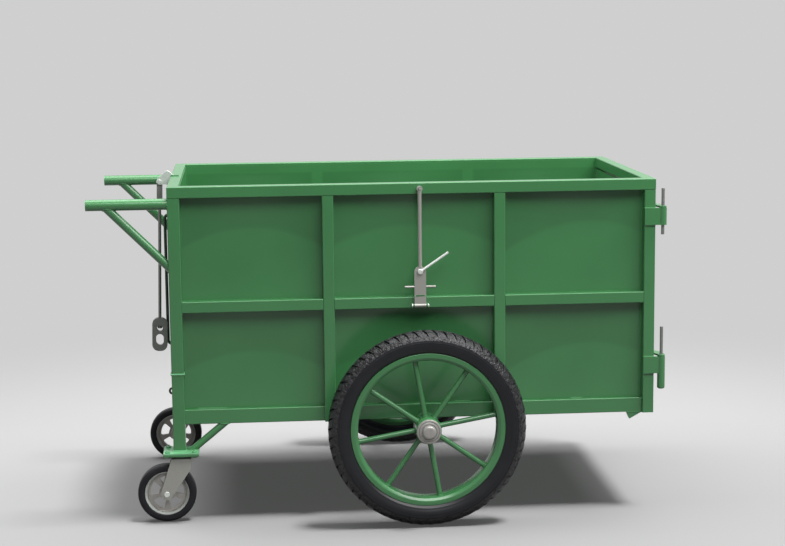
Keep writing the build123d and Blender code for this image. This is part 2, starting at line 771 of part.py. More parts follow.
def side_latch_nodes():
    """The right side's latch: a bar hinged on the mid rail whose eye drops over a stud on the top rail."""
    x = box_x + latch_shift
    face = -half_width
    stud_z = top_z - tube / 2
    line_y = face - latch_line
    hinge_y, hinge_z = face - latch_hinge_out, top_z - latch_hinge_drop
    half_plate = latch_plate_width / 2
    stud = rod_y(stud_radius, face, face - stud_length, x, stud_z)
    stud += rod_y(stud_collar_radius, face, face - stud_collar, x, stud_z)

    plate_top = top_z - latch_plate_top
    near, far = line_y - latch_plate_thickness / 2, line_y + latch_plate_thickness / 2
    middle = (plate_top + hinge_z) / 2
    outline = Pos(x, middle) * Rectangle(latch_plate_width, plate_top - hinge_z)
    outline = fillet(outline.vertices().sort_by(Axis.Y)[-2:], latch_plate_corner)
    outline -= Pos(x, top_z - latch_slot_drop) * Rectangle(latch_slot_width, latch_slot_height)
    pivot_z = top_z - latch_pivot_drop
    outline -= Pos(x, pivot_z) * Circle(lever_radius + running_fit)
    plate = plate_y(outline, near, far)
    plate += rod((x - half_plate, hinge_y, hinge_z), (x + half_plate, hinge_y, hinge_z), knuckle_radius)
    pin_ends = half_plate + side_clearance + latch_ear
    pin_line = [(x - pin_ends, hinge_y, hinge_z), (x + pin_ends, hinge_y, hinge_z)]
    plate -= rod(*pin_line, latch_pin_radius + running_fit)
    bar_z = top_z - cross_bar_drop
    half_bar = cross_bar_length / 2
    bar_line = [(x - half_bar, line_y, bar_z), (x + half_bar, line_y, bar_z)]
    plate -= rod(*bar_line, cross_bar_radius)
    cross_bar = rod(*bar_line, cross_bar_radius)
    eye_z = stud_z - stud_collar_radius - side_clearance
    half_eye = latch_eye_thickness / 2
    eye = Pos(x, stud_z) * Circle(latch_eye_radius) - Pos(x, stud_z) * Circle(latch_eye_hole)
    shaft = rod((x, line_y, plate_top), (x, line_y, eye_z), latch_rod_radius)
    shaft += plate_y(eye, line_y - half_eye, line_y + half_eye)
    shaft -= rod_y(latch_eye_hole, line_y - tube, line_y + tube, x, stud_z)

    head = rod_y(lever_head_radius, near - seat_gap, near - seat_gap - lever_head, x, pivot_z)
    head = fillet(head.edges().sort_by(Axis.Y)[:1], lever_head_round)
    lever_y = near - seat_gap - lever_head / 2
    run = Vector(cos(radians(lever_angle)), 0, sin(radians(lever_angle))) * lever_length
    start = Vector(x, lever_y, pivot_z)
    lever = head + rod(start, start + run, lever_radius - seat_gap)
    lever += rod_y(lever_radius, near - seat_gap, far, x, pivot_z)

    rail_top = mid_rail_z + tube / 2
    base_half = half_plate + side_clearance + latch_ear
    back = slab(x - base_half, x + base_half, face - latch_base_plate, face, rail_top - tube, rail_top)
    side_plane = Plane((x - base_half, 0, 0), x_dir=(0, 1, 0), z_dir=(1, 0, 0))
    ear = Pos(hinge_y, hinge_z) * Circle(knuckle_radius)
    arm_y = (hinge_y + face - latch_base_plate) / 2
    ear += Pos(arm_y, hinge_z) * Rectangle(latch_hinge_out - latch_base_plate, 2 * knuckle_radius)
    ear -= Pos(hinge_y, hinge_z) * Circle(latch_pin_radius + running_fit)
    ears = extrude(side_plane * ear, latch_ear)
    base = back + ears + Pos(2 * base_half - latch_ear, 0, 0) * ears
    pin = rod(*pin_line, latch_pin_radius)
    for end in (-1, 1):
        start_x = x + end * (pin_ends + seat_gap)
        stop_x = start_x + end * latch_pin_head
        pin += rod((start_x, hinge_y, hinge_z), (stop_x, hinge_y, hinge_z), latch_pin_head_radius)
        pin += rod((x, hinge_y, hinge_z), (start_x, hinge_y, hinge_z), latch_pin_radius)
    nodes = {"latch_stud": [stud], "latch_base": [base, pin], "latch_lever": [lever]}
    nodes["latch_bar"] = [plate, shaft, cross_bar]
    return nodes


def end_latch_nodes():
    """The handle end's hanging rod with a swivel link, its bracket, keeper bar and eye bolt."""
    pivot_x, pivot_z = handle_x - end_pivot_out, top_z - end_pivot_drop
    half_gap = end_eye_thickness / 2 + side_clearance
    strap_half = end_strap_width / 2
    strap_end = handle_x + end_strap_reach
    strap = slab(handle_x, strap_end, -strap_half, strap_half, top_z, top_z + end_strap)
    nose = Pos(pivot_x, pivot_z) * Circle(end_ear_radius)
    crest = Pos(handle_x - end_crest_out, top_z + end_crest_rise) * Circle(end_ear_radius)
    heel = Line((handle_x, top_z - end_heel_drop), (handle_x, top_z))
    toe = Line((handle_x, top_z), (handle_x + end_toe, top_z + end_strap))
    ear = make_hull(nose.edges() + crest.edges() + heel.edges() + toe.edges())
    ear -= Pos(pivot_x, pivot_z) * Circle(end_pin_radius + running_fit)
    ear -= Pos(handle_x + tube / 2, top_z - tube / 2) * Rectangle(tube, tube)
    outside = half_gap + end_ear
    pin = rod_y(end_pin_radius, -outside - seat_gap, outside + seat_gap, pivot_x, pivot_z)
    bracket = strap
    for side in SIDES.values():
        bracket += plate_y(ear, side * half_gap, side * outside)
        head = side * (outside + seat_gap)
        pin += rod_y(end_pin_head_radius, head, head + side * end_pin_head, pivot_x, pivot_z)

    half_eye = end_eye_width / 2
    shank = Pos(pivot_x, pivot_z - end_eye_length / 2) * Rectangle(end_eye_width, end_eye_length)
    eye = shank + Pos(pivot_x, pivot_z) * Circle(half_eye)
    eye -= Pos(pivot_x, pivot_z) * Circle(end_pin_radius + running_fit)
    hanger = plate_y(eye, -end_eye_thickness / 2, end_eye_thickness / 2)
    rod_end = top_z - end_rod_drop
    eye_end = pivot_z - end_eye_length
    link_z = rod_end - link_neck - seat_gap
    hole_z = link_z - link_top_hole
    head_room = rod_head_radius + seat_gap
    head_top = hole_z + sqrt(link_top_hole**2 - head_room**2)
    hanger += rod((pivot_x, 0, head_top), (pivot_x, 0, eye_end), end_rod_radius)
    hanger += rod((pivot_x, 0, head_top - rod_head), (pivot_x, 0, head_top), rod_head_radius)

    slot_z = hole_z - link_pitch
    link_top = hole_z + link_top_hole + link_neck
    link_foot = slot_z - link_slot_length / 2 - link_rim
    body = RectangleRounded(link_width, link_top - link_foot, link_corner)
    outline = Pos(pivot_x, (link_top + link_foot) / 2) * body
    outline -= Pos(pivot_x, hole_z) * Circle(link_top_hole)
    outline -= Pos(pivot_x, slot_z) * SlotOverall(link_slot_length, link_slot_width, 90)
    link = plate_y(outline, -link_thickness / 2, link_thickness / 2)
    link -= rod((pivot_x, 0, hole_z), (pivot_x, 0, top_z), end_rod_radius + running_fit)
    lean = Pos(pivot_x, 0, pivot_z) * Rot(0, end_rod_lean, 0) * Pos(-pivot_x, 0, -pivot_z)

    bar_x = handle_x - keeper_bar_out
    bar_top, bar_bottom = top_z - keeper_bar_top, top_z - keeper_bar_bottom
    path = FilletPolyline(
        (handle_x, 0, bar_top),
        (bar_x, 0, bar_top),
        (bar_x, 0, bar_bottom),
        (handle_x, 0, bar_bottom),
        radius=keeper_bar_bend,
    )
    keeper_bar = sweep(Plane((handle_x, 0, bar_top), z_dir=(-1, 0, 0)) * Circle(keeper_bar_radius), path)
    ring_z = deck_height + bottom_rail_height / 2
    ring_x = handle_x - eye_bolt_shank - eye_bolt_ring
    eye_bolt = Pos(ring_x, 0, ring_z) * Rot(90, 0, 0) * Torus(eye_bolt_ring, eye_bolt_wire)
    eye_bolt += rod((handle_x, 0, ring_z), (ring_x + eye_bolt_ring, 0, ring_z), eye_bolt_wire)
    hung = {"end_bracket": [bracket, pin], "end_rod": [lean * hanger], "swivel_link": [lean * link]}
    nodes = {name: [Pos(0, end_rod_side, 0) * solid for solid in solids] for name, solids in hung.items()}
    nodes["end_keepers"] = [keeper_bar, eye_bolt]
    return nodes


def save(nodes):
    """Write each node's solids to a file of its name."""
    os.makedirs("parts", exist_ok=True)
    for name, pieces in nodes.items():
        solids = [solid for piece in pieces for solid in piece.solids()]
        export_step(Compound(solids) if len(solids) > 1 else solids[0], f"parts/{name}.step")


all_nodes = {}
for make in (frame_nodes, lining_nodes, handle_nodes, leg_nodes, caster_fixed_nodes, axle_nodes):
    all_nodes.update(make())
for make in (hinge_nodes, gate_nodes, lug_nodes, side_latch_nodes, end_latch_nodes):
    all_nodes.update(make())
for side_name, side_sign in SIDES.items():
    all_nodes.update(caster_nodes(side_name, side_sign))
    all_nodes.update(wheel_nodes(side_name, side_sign))
save(all_nodes)
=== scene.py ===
"""Looks of a trash push cart: finishes, treaded tyres, rolled rims, weld beads, stage and camera."""

import json
from math import cos, pi, radians, sin, tau

import bmesh
import bpy
from mathutils import Matrix, Vector


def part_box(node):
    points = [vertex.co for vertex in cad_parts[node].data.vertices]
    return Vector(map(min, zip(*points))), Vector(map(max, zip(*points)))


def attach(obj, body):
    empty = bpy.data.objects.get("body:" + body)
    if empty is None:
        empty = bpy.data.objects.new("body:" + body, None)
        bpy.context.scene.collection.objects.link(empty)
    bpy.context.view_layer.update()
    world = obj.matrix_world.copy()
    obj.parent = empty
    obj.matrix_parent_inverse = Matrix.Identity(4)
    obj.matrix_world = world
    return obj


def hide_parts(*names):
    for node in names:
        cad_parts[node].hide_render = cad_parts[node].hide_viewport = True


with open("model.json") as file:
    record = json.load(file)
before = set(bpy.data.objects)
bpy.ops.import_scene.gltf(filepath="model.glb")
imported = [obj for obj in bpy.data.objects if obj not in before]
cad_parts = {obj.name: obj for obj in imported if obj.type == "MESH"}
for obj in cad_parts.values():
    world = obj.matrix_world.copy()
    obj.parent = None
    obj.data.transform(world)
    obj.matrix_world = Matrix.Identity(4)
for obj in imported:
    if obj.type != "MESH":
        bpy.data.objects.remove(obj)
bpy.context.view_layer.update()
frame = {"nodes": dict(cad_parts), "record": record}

bl_info = {
    "name": "Trash push cart looks",
    "version": (1, 0, 0),
    "blender": (4, 5, 0),
    "location": "View3D > Sidebar > Cart",
    "description": "Dresses the packed cart: paint, tyres, rims, hardware, weld beads and a studio",
    "category": "Object",
}

MM = 0.001
SIDES = {"right": -1, "left": 1}
RIGHT, FORWARD, UP = Vector((1, 0, 0)), Vector((0, 1, 0)), Vector((0, 0, 1))


def linear(code):
    """The linear colour of an sRGB hex value."""
    parts = [int(code[i:i + 2], 16) / 255 for i in (0, 2, 4)]
    return tuple(v / 12.92 if v <= 0.04045 else ((v + 0.055) / 1.055) ** 2.4 for v in parts)


def colour(code, label, text):
    """A colour setting whose default is an sRGB hex value."""
    return bpy.props.FloatVectorProperty(
        name=label, description=text, subtype="COLOR", size=3, min=0.0, max=1.0, default=linear(code)
    )


def length(size_mm, label, text):
    """A length setting whose default is given in millimetres."""
    return bpy.props.FloatProperty(
        name=label, description=text, subtype="DISTANCE", unit="LENGTH", min=0.0, default=size_mm * MM
    )


class CartFinishes(bpy.types.PropertyGroup):
    """Colours of the cart's finishes."""

    green: colour("3E7A49", "Green enamel", "Paint on the tubes, sheets, rims and spokes")
    # The pale enamel is painted light: a lighter copy of the green on the leg welds, the foot plates and their
    # bolts, where light from above falls
    lit_green: colour("62A072", "Pale enamel", "Fresh coat on the leg welds, the foot plates and their bolts")
    zinc: colour("A4A39D", "Zinc plate", "Latch bar, gate bolt and caster forks")
    dull: colour("80827E", "Dull zinc", "Hanging rod, its link and the hinge pins")
    # Near-white zinc: partly a painted highlight
    bright: colour("E4E9E4", "Bright zinc", "Latch lever, end bracket, caster axle heads and rings")
    # Dark steel is partly painted shade on the keepers at the handle end
    dark: colour("3A4A3E", "Dark steel", "Axle, axle brackets, caster races and the keepers at the handle end")
    grey: colour("9E9C98", "Grey enamel", "Hub caps")
    casting: colour("9C9994", "Cast aluminium", "Caster wheel cores")
    rubber: colour("15161A", "Tyre rubber", "Walls of the wheel tyres")
    tread: colour("1C1C1E", "Tread rubber", "Scuffed blocks of the wheel tyres")
    solid_rubber: colour("222225", "Solid rubber", "Caster tyres")


class CartStage(bpy.types.PropertyGroup):
    """The studio round the cart."""

    backdrop: colour("CFCFCF", "Backdrop", "What the camera and glossy faces see behind the cart")
    floor: colour("A6A6A6", "Floor", "Paper floor that takes the shadow")
    place: bpy.props.FloatVectorProperty(
        name="Camera place", description="Where the camera stands", subtype="TRANSLATION", unit="LENGTH",
        default=(-0.4138, -5.8498, 1.5816),
    )
    turn: bpy.props.FloatVectorProperty(
        name="Camera turn", description="How the camera is turned", subtype="EULER", unit="ROTATION",
        default=(radians(81.468), radians(0.568), radians(-4.818)),
    )
    lens: bpy.props.FloatProperty(name="Lens", description="Focal length in mm on a 36 mm sensor", default=82.55)


class CartShapes(bpy.types.PropertyGroup):
    """Sizes of what the scene shapes over the solids."""

    tread_blocks: bpy.props.IntProperty(
        name="Tread blocks", description="Blocks round each half of a wheel tyre", min=8, default=62
    )
    tread_depth: length(4.5, "Tread depth", "Height of a tread block over the floor of the grooves")
    tread_slant: length(20, "Tread slant", "How far a groove runs round the tyre on its way to the shoulder")
    groove_wide: length(7, "Groove at the crown", "Width of a groove where it opens at the crown")
    soft_edge: length(0.9, "Soft edge", "Round on the edges of pressed and cut hardware")
    weld: length(2.4, "Weld bead", "Radius of a weld bead")
    ripple: length(3, "Weld ripple", "Distance from one ripple of a bead to the next")
    dish: length(5, "Panel dish", "How far the middle of a side panel is drawn in between the tubes")


def add_node(tree, kind, inputs=None, **settings):
    """Add a shader node with its settings, and set or link its inputs."""
    made = tree.nodes.new("ShaderNode" + kind)
    for field, value in settings.items():
        setattr(made, field, value)
    for socket, value in (inputs or {}).items():
        if isinstance(value, bpy.types.NodeSocket):
            tree.links.new(value, made.inputs[socket])
        else:
            made.inputs[socket].default_value = value
    return made


def new_material(name):
    """An empty node material, its tree and its output node."""
    material = bpy.data.materials.new(name)
    material.use_nodes = True
    material.node_tree.nodes.clear()
    return material, material.node_tree, add_node(material.node_tree, "OutputMaterial")


def shade(colour_value, factor):
    """A colour made lighter or darker, as four numbers."""
    return tuple(min(1.0, v * factor) for v in colour_value) + (1.0,)


def per_metre(size_mm):
    """The noise scale whose cells are about that many millimetres wide."""
    return 1.0 / (size_mm * MM)


def two_tones(tree, pattern, tint, low, high):
    """A tint that goes between two strengths, each given with the pattern's value where it is reached."""
    ramp = add_node(tree, "ValToRGB", {"Fac": pattern.outputs["Fac"]})
    for stop, (place, strength) in zip(ramp.color_ramp.elements, (low, high)):
        stop.position = place
        stop.color = shade(tint, strength)
    return ramp.outputs["Color"]


# Widths of the clouds in the paint's tone and of the patches in its gloss
CLOUD_MM, PATCH_MM = 260, 60
# Orange peel is finer than this on the real paint: it is drawn coarser, so that it shows
PEEL_MM, PEEL_RISE_MM = 3.5, 0.4
# Tone of the paint above an arc against below it: painted shade under the rails
ARC_SHADE_TONE = 0.84


def enamel(name, green, arc_shaded=False):
    """Sprayed alkyd enamel on steel: even green with faint clouds, orange peel and a soft gloss.

    A sheet's coat is painted darker above an arc in each bay, as shade falling under the rails.
    """
    material, tree, output = new_material(name)
    place = add_node(tree, "TexCoord").outputs["Object"]
    clouds = add_node(tree, "TexNoise", {"Vector": place, "Scale": per_metre(CLOUD_MM), "Detail": 3.0})
    coat = two_tones(tree, clouds, green, (0.3, 0.93), (0.7, 1.05))
    if arc_shaded:
        # Painted shade: the mask is one below a bay's arc and falls to zero above it, where the green is drawn
        # darker
        arc = add_node(tree, "Attribute", attribute_name="arc").outputs["Fac"]
        arc_shade = add_node(tree, "MapRange", {"Value": arc, "To Min": ARC_SHADE_TONE, "To Max": 1.0})
        both = {0: 1.0, 1: coat, 2: arc_shade.outputs["Result"]}
        coat = add_node(tree, "MixRGB", both, blend_type="MULTIPLY").outputs["Color"]
    peel = add_node(tree, "TexNoise", {"Vector": place, "Scale": per_metre(PEEL_MM), "Detail": 1.0})
    bump = add_node(tree, "Bump", {"Height": peel.outputs["Fac"], "Strength": 0.03, "Distance": PEEL_RISE_MM * MM})
    patches = add_node(tree, "TexNoise", {"Vector": place, "Scale": per_metre(PATCH_MM), "Detail": 4.0})
    gloss = add_node(tree, "MapRange", {"Value": patches.outputs["Fac"], "To Min": 0.18, "To Max": 0.24})
    surface = add_node(tree, "BsdfPrincipled", {
        "Base Color": coat,
        "Roughness": gloss.outputs["Result"],
        "Normal": bump.outputs["Normal"],
        "IOR": 1.5,
        "Specular IOR Level": 0.6,
    })
    tree.links.new(surface.outputs["BSDF"], output.inputs["Surface"])
    return material


def metal(name, tint, low, high, grain_mm, metallic):
    """A bare, plated or painted metal: even tint with grains that change its tone and its gloss.

    The grains are drawn coarser than on the real surface, so that they show.
    """
    material, tree, output = new_material(name)
    place = add_node(tree, "TexCoord").outputs["Object"]
    grains = add_node(tree, "TexNoise", {"Vector": place, "Scale": per_metre(grain_mm), "Detail": 5.0})
    tone = two_tones(tree, grains, tint, (0.3, 0.9), (0.7, 1.06))
    gloss = add_node(tree, "MapRange", {"Value": grains.outputs["Fac"], "To Min": low, "To Max": high})
    bump = add_node(tree, "Bump", {"Height": grains.outputs["Fac"], "Strength": 0.08, "Distance": 0.2 * MM})
    surface = add_node(tree, "BsdfPrincipled", {
        "Base Color": tone,
        "Metallic": metallic,
        "Roughness": gloss.outputs["Result"],
        "Normal": bump.outputs["Normal"],
    })
    tree.links.new(surface.outputs["BSDF"], output.inputs["Surface"])
    return material


def rubber(name, tint, roughness, sheen, bloom_mm=45, spread=(0.85, 1.35), grain_mm=1.6, rise_mm=0.016):
    """Vulcanised rubber: near black, dull, with a bloom of dust or scuffs in its grain.

    The bloom's strength goes between the two values of the spread.
    """
    material, tree, output = new_material(name)
    place = add_node(tree, "TexCoord").outputs["Object"]
    bloom = add_node(tree, "TexNoise", {"Vector": place, "Scale": per_metre(bloom_mm), "Detail": 5.0})
    tone = two_tones(tree, bloom, tint, (0.35, spread[0]), (0.75, spread[1]))
    grain = add_node(tree, "TexNoise", {"Vector": place, "Scale": per_metre(grain_mm), "Detail": 2.0})
    bump = add_node(tree, "Bump", {"Height": grain.outputs["Fac"], "Strength": 1.0, "Distance": rise_mm * MM})
    surface = add_node(tree, "BsdfPrincipled", {
        "Base Color": tone,
        "Roughness": roughness,
        "Normal": bump.outputs["Normal"],
        "IOR": 1.52,
        "Specular IOR Level": sheen,
    })
    tree.links.new(surface.outputs["BSDF"], output.inputs["Surface"])
    return material


finishes = {}


class CART_OT_finishes(bpy.types.Operator):
    """Make the finishes and put them on the nodes that keep their shape"""

    bl_idname = "cart.finishes"
    bl_label = "Finishes"

    def execute(self, context):
        tints = context.scene.cart_finishes
        # Sprayed enamel: even green, clear soft highlights along the edges of the tubes
        finishes["green_paint"] = enamel("green_enamel", tints.green)
        # The same paint on the big sheets, with painted shade above a faint arc in each bay
        finishes["arc_shaded_paint"] = enamel("arc_shaded_green_enamel", tints.green, arc_shaded=True)
        # A lighter copy of the green enamel with the same gloss: painted light on the leg welds, the foot plates and
        # their bolts, which catch the light from above
        finishes["lit_green_paint"] = enamel("lit_green_enamel", tints.lit_green)
        # Zinc plate with its thin film of oxide: pale grey, half mirror and half chalk
        finishes["bare_steel"] = metal("zinc_plated_steel", tints.zinc, 0.3, 0.4, 2.5, 0.5)
        # Weathered zinc: a darker grey with blurred highlights
        finishes["dull_steel"] = metal("dull_zinc", tints.dull, 0.34, 0.44, 2.5, 0.5)
        # Near-white zinc with crisp highlights: partly zinc rubbed bright by use, partly a painted highlight for the
        # glints on the lever, the end bracket, the caster axle heads and the core rims
        finishes["bright_steel"] = metal("polish_and_highlight_zinc", tints.bright, 0.16, 0.24, 2.5, 0.5)
        # Oxidised steel: a dark greenish grey that takes few highlights. On the keepers at the handle end the dark
        # tone is also painted shade, where they stand in shadow
        finishes["dark_steel"] = metal("oxide_and_shade_steel", tints.dark, 0.4, 0.55, 8, 0.6)
        # Grey metallic enamel: light grey with a soft sparkle
        finishes["hub_grey"] = metal("grey_enamel", tints.grey, 0.24, 0.34, 9, 0.35)
        # Aluminium as cast: warm grey, mottled and matt
        finishes["cast_core"] = metal("cast_aluminium", tints.casting, 0.34, 0.5, 5, 0.5)
        # Moulded tyre wall: near black, with a faint sheen
        finishes["tyre_rubber"] = rubber("tyre_rubber", tints.rubber, 0.3, 0.3)
        # Scuffed tread: grit and sipes, drawn much coarser than they are, so that they show as a mottle
        finishes["tread_rubber"] = rubber(
            "scuffed_tread_rubber", tints.tread, 0.3, 0.36, bloom_mm=8, spread=(0.15, 3.4), grain_mm=9, rise_mm=5.0,
        )
        # Solid rubber: dark and matt
        finishes["caster_rubber"] = rubber("solid_rubber", tints.solid_rubber, 0.45, 0.15)
        for part in frame["record"]["subparts"]:
            data = frame["nodes"][part["node"]].data
            data.materials.clear()
            data.materials.append(finishes[part["material_slot"]])
        return {"FINISHED"}


def box_of(node):
    """The low and high corners of a solid's box."""
    low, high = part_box(node)
    return Vector(low), Vector(high)


def middle(node):
    """The middle of a solid's box."""
    low, high = box_of(node)
    return (low + high) / 2


# Edges that bend less than this are shaded smooth
SMOOTH_UNDER = radians(35)


def keep(bm, name, body, slot, *replaced, looks=None):
    """Turn a bmesh into a piece that rides on a body, with its finishes and smooth curved faces."""
    mesh = bpy.data.meshes.new(name)
    bm.to_mesh(mesh)
    bm.free()
    mesh.shade_smooth()
    mesh.set_sharp_from_angle(angle=SMOOTH_UNDER)
    for look in looks or (slot,):
        mesh.materials.append(finishes[look])
    piece = bpy.data.objects.new(name, mesh)
    bpy.context.scene.collection.objects.link(piece)
    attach(piece, body)
    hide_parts(*replaced)
    return piece


def curve(start, pull, end, steps):
    """Points on the curve that leaves one point and reaches another towards the same pull."""
    shares = [k / steps for k in range(steps + 1)]
    return [start.lerp(pull, t).lerp(pull.lerp(end, t), t) for t in shares]


def bow(start, through, end, steps):
    """Points on the curve that passes through a third point halfway."""
    start, through, end = Vector(start), Vector(through), Vector(end)
    return curve(start, 2 * through - (start + end) / 2, end, steps)


def eased(corners, steps=4):
    """An outline from corners, each with the length that its round takes off both its sides."""
    points = []
    for i, (radius, out, ease) in enumerate(corners):
        here = Vector((radius, out))
        if not ease:
            points.append(here)
            continue
        before = Vector(corners[i - 1][:2])
        after = Vector(corners[(i + 1) % len(corners)][:2])
        start = here + (before - here).normalized() * ease
        end = here + (after - here).normalized() * ease
        points += curve(start, here, end, steps)
    return points


def both_halves(half):
    """A closed outline from the half that starts and ends on the middle plane."""
    return half + [Vector((p.x, -p.y)) for p in reversed(half[1:-1])]


def spun(bm, outline, centre, side=1, steps=96, closed=True):
    """Spin an outline of radius and distance out, in millimetres, about an axle along Y."""
    verts = [bm.verts.new(centre + Vector((p.x, side * p.y, 0)) * MM) for p in outline]
    pairs = list(zip(verts, verts[1:]))
    if closed:
        pairs.append((verts[-1], verts[0]))
    edges = [bm.edges.new(pair) for pair in pairs]
    bmesh.ops.spin(bm, geom=verts + edges, cent=centre, axis=FORWARD, angle=tau, steps=steps, use_merge=True)
    bmesh.ops.remove_doubles(bm, verts=bm.verts[:], dist=0.001 * MM)
    bmesh.ops.recalc_face_normals(bm, faces=bm.faces[:])


def join(bm, other):
    """Add another bmesh to this one."""
    mesh = bpy.data.meshes.new("joined")
    other.to_mesh(mesh)
    other.free()
    bm.from_mesh(mesh)
    bpy.data.meshes.remove(mesh)


# Points of a tyre's half outline, as radius and distance out in millimetres
TYRE_CROWN, TYRE_SHOULDER, TYRE_BELLY = (302.0, 0.0), (268.0, 39.0), (255.0, 39.2)
TYRE_FLARE, TYRE_TUCK, TYRE_TOE = (236.3, 29.0), (236.3, 25.7), (218.3, 22.7)
TYRE_MOUTH, TYRE_HOLLOW, TYRE_ROOF = (218.3, 13.7), (258.0, 31.0), (289.0, 0.0)
RISE = TYRE_CROWN[0] - TYRE_SHOULDER[0]
CROWN_ROUND = (TYRE_SHOULDER[1] ** 2 + RISE ** 2) / (2 * RISE)
CROWN_AXIS = TYRE_CROWN[0] - CROWN_ROUND
# Turns off the crown, in degrees, of the plain band beside the tread, and of the raised ring with its lifts
BAND_START = 68.0
BAND_TURNS = (BAND_START, 72, 75, 78)
SHOULDER_RING = ((79.2, 1.1), (81.8, 1.2))
# Points down the wall, and those of them that are lifted as a ring
WALL_STEPS, WALL_RING, WALL_RING_LIFT = 16, (13, 14), 0.8
# The turns where a tread block starts and ends, its lift off the crown, and its root as a share of the tread's depth
BLOCK_START, BLOCK_END, BLOCK_LIFT, BLOCK_ROOT = 3.0, BAND_START + 1.5, 0.3, 1.25
# The bevel round a block, and the share of its length where its groove closes
BLOCK_BEVEL, GROOVE_END = 0.8, 0.78


def on_tread(turn, lift):
    """Radius and distance out of a tread point, from its turn off the crown in degrees and its lift."""
    reach = CROWN_ROUND + lift
    return Vector((CROWN_AXIS + reach * cos(radians(turn)), reach * sin(radians(turn))))


def carcass():
    """The outline of a tyre under its tread blocks, with a band and rings at the shoulder and on the wall."""
    depth = bpy.context.scene.cart_shapes.tread_depth / MM
    half = [on_tread(turn, -depth) for turn in range(0, 67, 6)]
    half += [on_tread(turn, 0.0) for turn in BAND_TURNS]
    half += [on_tread(turn, lift) for turn, lift in SHOULDER_RING]
    wall = bow(TYRE_SHOULDER, TYRE_BELLY, TYRE_FLARE, WALL_STEPS)
    for k in WALL_RING:
        wall[k] = wall[k] + Vector((0.0, WALL_RING_LIFT))
    half += wall[1:]
    half += [Vector(TYRE_TUCK), Vector(TYRE_TOE), Vector(TYRE_MOUTH)]
    half += bow(TYRE_MOUTH, TYRE_HOLLOW, TYRE_ROOF, 8)[1:]
    return both_halves(half)


def tread_row(hub, row):
    """One half's ring of tread blocks, with curved grooves that close before the shoulder."""
    sizes = bpy.context.scene.cart_shapes
    count, depth, slant = sizes.tread_blocks, sizes.tread_depth / MM, sizes.tread_slant / MM
    wide = sizes.groove_wide / MM
    pitch = tau * TYRE_CROWN[0] / count
    block = bmesh.new()
    bmesh.ops.create_grid(block, x_segments=2, y_segments=10, size=0.5)
    for face in block.faces:
        face.material_index = 1
    rim = [edge for edge in block.edges if edge.is_boundary]
    made = bmesh.ops.extrude_edge_only(block, edges=rim)["geom"]
    foot = [item for item in made if isinstance(item, bmesh.types.BMVert)]
    bmesh.ops.translate(block, verts=foot, vec=-BLOCK_ROOT * UP)
    sole = [item for item in made if isinstance(item, bmesh.types.BMEdge) and item.is_boundary]
    bmesh.ops.edgeloop_fill(block, edges=sole)
    for vert in block.verts:
        share = vert.co.y + 0.5
        gap = wide * max(0.0, 1 - (share / GROOVE_END) ** 3)
        along = slant * (1 - (1 - share) ** 1.5) + vert.co.x * (pitch - gap) + (row + 1) * pitch / 4
        place = on_tread(BLOCK_START + share * (BLOCK_END - BLOCK_START), vert.co.z * depth + BLOCK_LIFT)
        arc = along / TYRE_CROWN[0]
        vert.co = hub + MM * Vector((place.x * sin(arc), row * place.y, place.x * cos(arc)))
    bmesh.ops.bevel(
        block, geom=rim, offset=BLOCK_BEVEL * MM, segments=1, profile=0.5, affect="EDGES", material=-1
    )
    bmesh.ops.recalc_face_normals(block, faces=block.faces[:])
    bmesh.ops.spin(
        block, geom=block.verts[:] + block.edges[:] + block.faces[:], cent=hub, axis=FORWARD,
        angle=tau * (count - 1) / count, steps=count - 1, use_duplicate=True,
    )
    return block


class CART_OT_tyres(bpy.types.Operator):
    """Build the wheel tyres with their sidewall rings and tread blocks"""

    bl_idname = "cart.tyres"
    bl_label = "Wheel tyres"

    def execute(self, context):
        for name in SIDES:
            hub = middle("wheel_tyre_" + name)
            bm = bmesh.new()
            spun(bm, carcass(), hub, steps=160)
            for row in (-1, 1):
                join(bm, tread_row(hub, row))
            looks = ("tyre_rubber", "tread_rubber")
            keep(bm, "tyre_" + name, "wheel_" + name, "tyre_rubber", "wheel_tyre_" + name, looks=looks)
        return {"FINISHED"}


# Outlines as corners of radius, distance out and the length of their round, in millimetres
RIM = [
    (236, 26.2, 1), (236, 30.4, 2.6), (222, 30.4, 1.6), (213, 24.6, 2.4),
    (213, -24.6, 2.4), (222, -30.4, 1.6), (236, -30.4, 2.6), (236, -26.2, 1),
    (218, -23.2, 2), (218, -17, 3), (216, -11, 3), (216, 11, 3), (218, 17, 3), (218, 23.2, 2),
]
HUB = [(39, -45, 2.5), (39, 50, 1.5), (26.5, 50, 0.5), (26.5, -45, 0.5)]
HUB_CAP = [
    (0, 50.2, 0), (37.5, 50.2, 0), (37.5, 55.4, 1.8), (32.4, 56.6, 0.8), (31.4, 54.6, 0.5), (30.0, 54.6, 0.5),
    (29.2, 57.6, 0.9), (24.4, 58.4, 0.8), (23.4, 56.8, 0.4), (21.2, 56.8, 0.4), (20.6, 68.2, 3.2), (15, 71, 3),
    (0, 71, 0),
]
SPOKES, FIRST_SPOKE = 8, radians(10)
# Radii of a spoke's ends at the hub and the rim, and of the bead round each
SPOKE_WELDS, SPOKE_WELD_ROUND = (39.5, 212), 8.6


